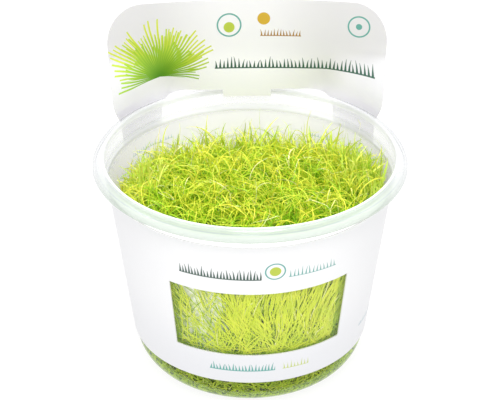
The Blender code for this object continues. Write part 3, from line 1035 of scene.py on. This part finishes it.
def scatter_tree():
    g = Garden("grow blades")
    density, seed = g.ask("Density", "Float"), g.ask("Seed", "Int")
    smallest, largest = g.ask("Smallest", "Float"), g.ask("Largest", "Float")
    lean, templates = g.ask("Lean", "Float"), g.ask("Templates", "Collection")
    finish = g.ask("Finish", "Material")
    bed = Wire(g, g.inside.outputs["Geometry"])
    spots = g.wire("GeometryNodeDistributePointsOnFaces", {"distribute_method": "RANDOM"},
                   {"Mesh": bed, "Density": density, "Seed": seed}, "Points")
    shelf = g.wire("GeometryNodeCollectionInfo", None,
                   {"Collection": templates, "Separate Children": True, "Reset Children": True})
    turns = [(g.dice(seed + (11.0 + k)) - 0.5) * 2.0 * reach
             for k, reach in enumerate((lean, lean, math.pi))]
    angles = g.wire("ShaderNodeCombineXYZ", None, dict(enumerate(turns)))
    spin = g.wire("FunctionNodeEulerToRotation", None, {0: angles})
    planted = g.wire("GeometryNodeInstanceOnPoints", None, {
        "Points": spots, "Instance": shelf, "Pick Instance": True, "Rotation": spin,
        "Scale": g.dice(seed, Min=smallest, Max=largest)})
    tinted = g.wire("GeometryNodeStoreNamedAttribute",
                    {"data_type": "FLOAT", "domain": "INSTANCE"},
                    {"Geometry": planted, "Name": "tint", "Value": g.dice(seed + 29.0)})
    real = g.wire("GeometryNodeRealizeInstances", None, {"Geometry": tinted})
    painted = g.wire("GeometryNodeSetMaterial", None,
                     {"Geometry": keep_inside(g, real), "Material": finish})
    g.feed(g.outside.inputs["Geometry"], painted)
    return g.tree


scatter = scatter_tree()
SHADE_DEPTH = 0.0052


def grow(name, bed, **values):
    """Run the scattering tree on a bed and keep what it makes as a plain mesh."""
    modifier = bed.modifiers.new("grow", "NODES")
    modifier.node_group = scatter
    for item in scatter.interface.items_tree:
        if item.item_type == "SOCKET" and item.in_out == "INPUT" and item.name in values:
            modifier[item.identifier] = values[item.name]
    bake_modifiers(bed)
    bed.name = name
    bed.data.shade_smooth()
    spots = np.empty(len(bed.data.vertices) * 3)
    bed.data.vertices.foreach_get("co", spots)
    x, y, z = spots.reshape(-1, 3).T
    store(bed, "shade", np.clip((canopy_height(x, y) - z) / SHADE_DEPTH, 0.0, 1.0))
    return bed


# %% [markdown]
# The bed is a sheet a few millimetres under the leaf tips, so that blades of the right length
# end at the surface of the mat. It reaches almost to the wall.

# %% The beds
BED_LUMPS = 0.0028
HOLLOWS = [(0.0025, -0.0050, 0.0045, 0.0034), (-0.0046, 0.0126, 0.0040, 0.0030),
           (-0.0060, -0.0060, 0.0032, 0.0026), (-0.0140, -0.0100, 0.0035, 0.0024),
           (0.0180, -0.0080, 0.0040, 0.0022), (0.0100, 0.0050, 0.0030, 0.0018)]


def hollow_depth(x, y):
    """A few places where the mat is thin and one looks down between the leaves."""
    return sum(deep * math.exp(-((x - cx) ** 2 + (y - cy) ** 2) / (0.5 * wide * wide))
               for cx, cy, wide, deep in HOLLOWS)


def canopy_bed(depth, inner, reach, arc=(0.0, 360.0), rings=30, segments=110):
    """A ring, or a part of one, that follows the canopy at this depth, with humps and hollows."""
    points = []
    whole = arc[1] - arc[0] >= 360.0
    for r in steps(inner, reach, rings):
        for s in range(segments):
            a = math.radians(arc[0] + (arc[1] - arc[0]) * s / (segments if whole else segments - 1))
            x, y = r * math.cos(a), r * math.sin(a)
            lumps = lumpy(x * 150.0, y * 150.0, 0.37) * BED_LUMPS
            points.append((x, y, canopy_height(x, y) - depth + lumps - hollow_depth(x, y)))
    bed = piece_from("bed", points, sheet_faces(rings, segments, whole), [])
    if bed.data.polygons[0].normal.z < 0.0:
        bed.data.flip_normals()
    return bed


CENTRE = 0.0003
MAT_REACH = 0.0405
WHOLE_MAT = (CENTRE, MAT_REACH)
GROWTH = [
    ("carpet_leaves", (0.0064, *WHOLE_MAT), blade_group, carpet_green, 2.65e6, 3, 0.55, 1.05, 30.0),
    ("arching_leaves", (0.0064, *WHOLE_MAT), arch_group, arch_green, 1.45e6, 8, 0.45, 1.0, 38.0),
    ("yellow_runners", (0.0052, *WHOLE_MAT), curl_group, runner_gold, 7.8e5, 12, 0.45, 1.2, 60.0),
    ("edge_leaves", (0.0062, 0.0300, 0.0434, (-25.0, 205.0)), edge_group, edge_green,
     8.8e5, 17, 0.45, 1.0, 14.0),
    ("curved_leaves", (0.0060, 0.0270, 0.0425, (-20.0, 200.0)), stalk_group, edge_green,
     8.5e4, 23, 0.55, 1.2, 16.0)]
for name, bed, templates, finish, density, seed, smallest, largest, lean in GROWTH:
    settle(grow(name, canopy_bed(*bed), Density=density, Seed=seed, Smallest=smallest,
                Largest=largest, Lean=math.radians(lean), Templates=templates, Finish=finish),
           "mat")

# %% [markdown]
# ## Leaves pressed against the wall
# Through the window and below the sleeve one sees leaves that grew along the clear wall: long
# pale ribbons that fan upwards and cross each other. They follow the wall's surface, so they
# are walked out step by step on it, in arc and height, a little deeper for each layer.

# %% Wall strands
STRAND_STEPS = 10
STRAND_GAP = 0.00015
STRAND_TOP = TUB_HEIGHT - 0.004
STRAND_BOTTOM = WALL + 0.0006


class Blades:
    """Many blades in one mesh, each point with the three numbers that its material reads."""

    def __init__(self):
        self.points, self.faces = [], []
        self.marks = {"along": [], "tint": [], "shade": []}

    def add(self, rows, shades, tint):
        """Add a blade from rows of points, each row running across it."""
        wide, last = len(rows[0]), len(rows) - 1
        self.faces += sheet_faces(len(rows), wide, start=len(self.points))
        for k, row in enumerate(rows):
            self.points += row
            for key, value in (("along", k / last), ("tint", tint), ("shade", shades[k])):
                self.marks[key] += [value] * wide

    def piece(self, name, material):
        made = piece_from(name, self.points, self.faces, [material])
        for key, values in self.marks.items():
            store(made, key, values)
        return made


def wall_leaves(name, count, seed, plant, material):
    """Ribbons on the wall as one piece; plant draws one strand, or None to leave a gap."""
    draw = random.Random(seed)
    blades = Blades()
    for _ in range(count):
        strand = plant(draw)
        if strand is None:
            continue
        path, normals, shades, width, tint = strand
        rows = []
        for k, spot in enumerate(path):
            side = heading_at(path, k).cross(normals[k]).normalized()
            half = side * (width * leaf_width(k / (len(path) - 1)) / 2.0)
            rows.append([spot - half, spot + half])
        blades.add(rows, shades, tint)
    return blades.piece(name, material)


def walk_wall(draw, arc, z, heading, length, depth, wander, shade_at):
    """Follow the wall from an angle and height; heading is nought when it points up."""
    stride = length / (STRAND_STEPS - 1)
    path, normals, shades = [], [], []
    turn = draw.uniform(-wander, wander)
    for _ in range(STRAND_STEPS):
        radius = inside_radius(z) - STRAND_GAP - depth
        outward = Vector((math.sin(arc), -math.cos(arc), 0.0))
        path.append(outward * radius + Vector((0.0, 0.0, z)))
        normals.append(outward)
        shades.append(shade_at(arc, z))
        arc += math.sin(heading) * stride / radius
        z += math.cos(heading) * stride
        z = min(max(z, STRAND_BOTTOM), STRAND_TOP)
        heading += turn + draw.uniform(-wander, wander) * 0.4
    return path, normals, shades


WINDOW_STRANDS = 3000
WINDOW_DEPTH = 0.0012
EDGE_SHADE_ARC = 0.030
EDGE_SHADE_HEIGHT = 0.0003


def window_shade(arc, z):
    """The card's cut edge keeps light off the leaves just inside the window."""
    left = 1.0 - smoothstep(0.85, 1.1, (arc - WINDOW_LEFT) / EDGE_SHADE_ARC)
    right = 1.0 - smoothstep(0.8, 1.5, (WINDOW_RIGHT - arc) / EDGE_SHADE_ARC)
    low = 1.0 - smoothstep(-2.0, 0.0, (z - WINDOW_BOTTOM) / EDGE_SHADE_HEIGHT)
    patch = 0.5 + 0.5 * lumpy(arc * 30.0, z * 260.0, 11.0)
    return max((0.55 + 0.45 * patch) * left, (0.62 + 0.38 * patch) * right, 0.80 * low)


def window_strand(draw):
    arc = draw.uniform(WINDOW_LEFT - 0.10, WINDOW_RIGHT + 0.10)
    z = draw.uniform(WINDOW_BOTTOM - 0.008, WINDOW_TOP - 0.001)
    open_left = smoothstep(-0.02, 0.30, -arc)
    gap = lumpy(arc * 11.0, z * 190.0, 7.0)
    halfway = z + 0.005
    high = smoothstep(WINDOW_TOP - 0.014, WINDOW_TOP - 0.004, halfway)
    inner = smoothstep(0.02, 0.07, arc - WINDOW_LEFT)
    inner *= smoothstep(0.02, 0.07, WINDOW_RIGHT - arc)
    thin = (0.86 * open_left + 0.40 * high) * inner
    if draw.random() < thin * smoothstep(-0.25, 0.10, gap):
        return None
    fan = 0.45 * smoothstep(0.1, 0.7, arc) - 0.80 * smoothstep(0.1, 0.6, -arc)
    drift = lumpy(arc * 5.0, z * 110.0, 3.0)
    low = 1.0 - smoothstep(0.0, 0.007, z - WINDOW_BOTTOM)
    heading = fan + 0.9 * drift + draw.gauss(0.0, 0.12 + 0.35 * open_left + 0.7 * low)
    depth = draw.random() ** 1.5 * WINDOW_DEPTH
    own_shade = 0.80 * depth / WINDOW_DEPTH + 0.20 * low
    path, normals, shades = walk_wall(draw, arc, z, heading, draw.uniform(0.006, 0.015),
                                      depth, 0.09, window_shade)
    shades = [min(s * (0.55 + 0.56 * own_shade) + own_shade * (1.0 - 0.4 * s), 0.95)
              for s in shades]
    width = draw.uniform(0.00024, 0.00060 - 0.00022 * open_left)
    return path, normals, shades, width, draw.random()


settle(wall_leaves("window_leaves", WINDOW_STRANDS, 21, window_strand, wall_green), "mat")

# %% [markdown]
# Below the sleeve, and under the rim, the same leaves run all round the tub. At the rounded
# floor corner they tangle in every direction.

# %% Leaves round the foot and the shoulder
FOOT_STRANDS = 3800
FOOT_DEPTH = 0.0014
SHOULDER_STRANDS = 1200
SHOULDER_RADIUS = 0.042
SHOULDER_FADE = 0.007


def foot_strand(draw):
    arc = draw.uniform(-math.pi, math.pi)
    z = draw.uniform(0.0012, 0.0140)
    depth = draw.random() ** 1.2 * FOOT_DEPTH - 0.0001
    shade = 0.85 * max(depth, 0.0) / FOOT_DEPTH + draw.uniform(0.0, 0.2)
    walk = walk_wall(draw, arc, z, draw.gauss(0.0, 1.4), draw.uniform(0.003, 0.009), depth, 0.22,
                     lambda a, h: shade)
    return *walk, draw.uniform(0.00026, 0.00046), draw.random()


def shoulder_strand(draw):
    """An upright leaf along the wall, as high as the canopy is at that side."""
    arc = draw.uniform(-math.pi, math.pi)
    top = canopy_height(math.sin(arc) * SHOULDER_RADIUS, -math.cos(arc) * SHOULDER_RADIUS)
    length = draw.uniform(0.005, 0.010)
    z = top - length - draw.uniform(-0.0010, 0.006)
    walk = walk_wall(draw, arc, z, draw.gauss(0.0, 0.35), length, draw.random() * 0.0018, 0.08,
                     lambda a, h: min(max((top - h) / SHOULDER_FADE, 0.0), 0.9))
    return *walk, draw.uniform(0.00035, 0.00060), draw.random()


settle(wall_leaves("foot_leaves", FOOT_STRANDS, 31, foot_strand, foot_green), "mat")
settle(wall_leaves("shoulder_leaves", SHOULDER_STRANDS, 47, shoulder_strand, carpet_green), "mat")

# %% [markdown]
# ## Tall single leaves
# Some leaves stand clear of the mat at the back and sides. The frame has a plain solid for each.
# A finer leaf replaces them: it ends where its solid does, its foot goes on a little deeper into
# the mat, and it is a folded ribbon with a groove along its middle.

# %% Tall leaves from their solids
def solid_ends(node):
    """The middle of a leaf solid's foot, and its tip."""
    spots = [v.co.copy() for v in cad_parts[node].data.vertices]
    tip = max(spots, key=lambda v: v.z)
    low = min(v.z for v in spots)
    foot_spots = [v for v in spots if v.z < low + 0.0003]
    foot = sum(foot_spots, Vector()) / len(foot_spots)
    return foot, tip


LEAF_STEPS = 12
ROOT_DEPTH = 0.0065


def grooved_leaf(blades, foot, tip, width, draw):
    """Add one folded leaf: two strips that meet in a groove."""
    outward = Vector((foot.x, foot.y, 0.0)).normalized()
    side = Vector((outward.y, -outward.x, 0.0))
    sway = side * draw.choice((-1.0, 1.0)) * draw.uniform(0.0008, 0.0024)
    curl = side * draw.uniform(-0.0012, 0.0012)
    tint = draw.uniform(0.0, 0.85)
    root = foot - Vector((0.0, 0.0, ROOT_DEPTH))
    rows, shades = [], []
    for k in range(LEAF_STEPS):
        t = k / (LEAF_STEPS - 1)
        centre = root.lerp(tip, t) + sway * math.sin(math.pi * t) - outward * 0.0006 * math.sin(
            math.pi * t) + curl * math.sin(2.0 * math.pi * t)
        half = side * (width * leaf_width(t) / 2.0)
        groove = outward * (width * 0.22 * leaf_width(t))
        rows.append([centre - half, centre + groove, centre + half])
        shades.append(0.55 * (1.0 - t) ** 1.5)
    blades.add(rows, shades, tint)


def tall_leaves():
    draw = random.Random(5)
    blades = Blades()
    for node in leaf_nodes:
        foot, tip = solid_ends(node)
        grooved_leaf(blades, foot, tip, draw.uniform(0.00060, 0.00090), draw)
    return blades.piece("tall_leaves", edge_green)


settle(tall_leaves(), "leaf", *leaf_nodes)

# %% [markdown]
# ## Floor and light
# The photograph is a cut-out on white. Such pictures are taken on a light table: the white floor
# glows a little, so it throws light up under the object and takes away its shadow. An even sky,
# a soft lamp in front and another above give the card and the leaves their faint shading.

# %% Studio
def light_table():
    book = Book("light table")
    vector, _ = book.place()
    soft = book.noise(vector, 3.0)
    book.glow(book.mix(soft, (0.90, 0.90, 0.90), (0.92, 0.92, 0.92)))
    return book.finish(book.mix(soft, (0.13, 0.13, 0.13), (0.15, 0.15, 0.15)), 0.9)


FLOOR_HALF = 3.0
floor = piece_from("floor", [(-FLOOR_HALF, -FLOOR_HALF, 0.0), (FLOOR_HALF, -FLOOR_HALF, 0.0),
                             (FLOOR_HALF, FLOOR_HALF, 0.0), (-FLOOR_HALF, FLOOR_HALF, 0.0)],
                   [(0, 1, 2, 3)], [light_table()])

world = bpy.data.worlds.new("white studio")
scene.world = world
world.use_nodes = True
sky = world.node_tree.nodes["Background"]
sky.inputs["Color"].default_value = (1.0, 1.0, 1.0, 1.0)
sky.inputs["Strength"].default_value = 0.80


def soft_lamp(name, place, target, size, power):
    lamp = bpy.data.objects.new(name, bpy.data.lights.new(name, "AREA"))
    scene.collection.objects.link(lamp)
    lamp.data.shape = "DISK"
    lamp.data.size = size
    lamp.data.energy = power
    lamp.location = place
    lamp.rotation_euler = (Vector(target) - Vector(place)).to_track_quat("-Z", "Y").to_euler()
    return lamp


soft_lamp("key lamp", (0.0, -0.60, 0.85), (0.0, 0.0, 0.05), 0.30, 2.8)
soft_lamp("top lamp", (0.05, 0.05, 1.00), (0.0, 0.0, 0.05), 0.30, 5.6)
scene.view_settings.view_transform = "Standard"
